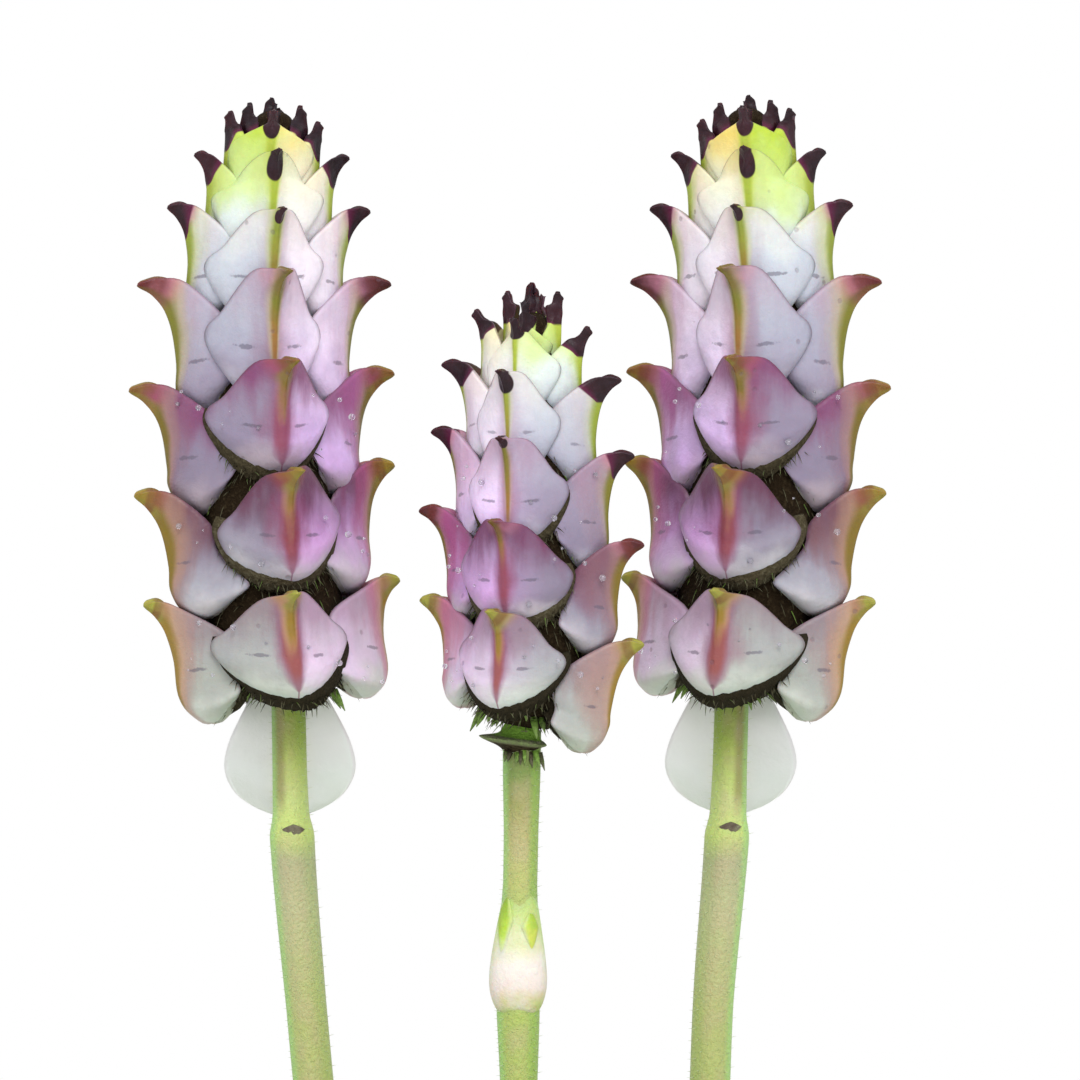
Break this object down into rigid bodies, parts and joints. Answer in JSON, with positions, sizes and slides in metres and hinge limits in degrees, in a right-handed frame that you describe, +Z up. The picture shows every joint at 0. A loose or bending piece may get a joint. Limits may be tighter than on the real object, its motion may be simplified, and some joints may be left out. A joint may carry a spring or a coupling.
{
  "type": "potted plectranthus ornatus",
  "caption": "Potted plectranthus ornatus: horned, four-angled flower spikes on long stems above crenate leaves in a plain clay pot.",
  "frame": {"origin": "centre of the pot's underside, on the surface it stands on", "axes": "+Z up along the pot's axis; the row of three spikes runs along X and faces -Y"},
  "size_m": [0.1822, 0.166, 0.2705],
  "materials": {
    "clay": "matte, unglazed terracotta",
    "soil": "dark crumbly potting soil",
    "flower_stem": "soft, finely hairy, light yellow-green",
    "bracts": "satin, lilac to white with dark maroon horns",
    "leaves": "velvety, fleshy, grey-green"
  },
  "bodies": {
    "root": {"pot": "clay", "soil": "soil", "flowering_stem": "flower_stem", "left_spike": "bracts", "middle_spike": "bracts", "right_spike": "bracts", "upright_shoot_1": "leaves", "upright_shoot_2": "leaves", "upright_shoot_3": "leaves", "upright_shoot_4": "leaves", "upright_shoot_5": "leaves", "upright_shoot_6": "leaves", "low_shoot_1": "leaves", "low_shoot_2": "leaves", "low_shoot_3": "leaves", "low_shoot_4": "leaves", "low_shoot_5": "leaves", "low_shoot_6": "leaves"}
  },
  "joints": []
}
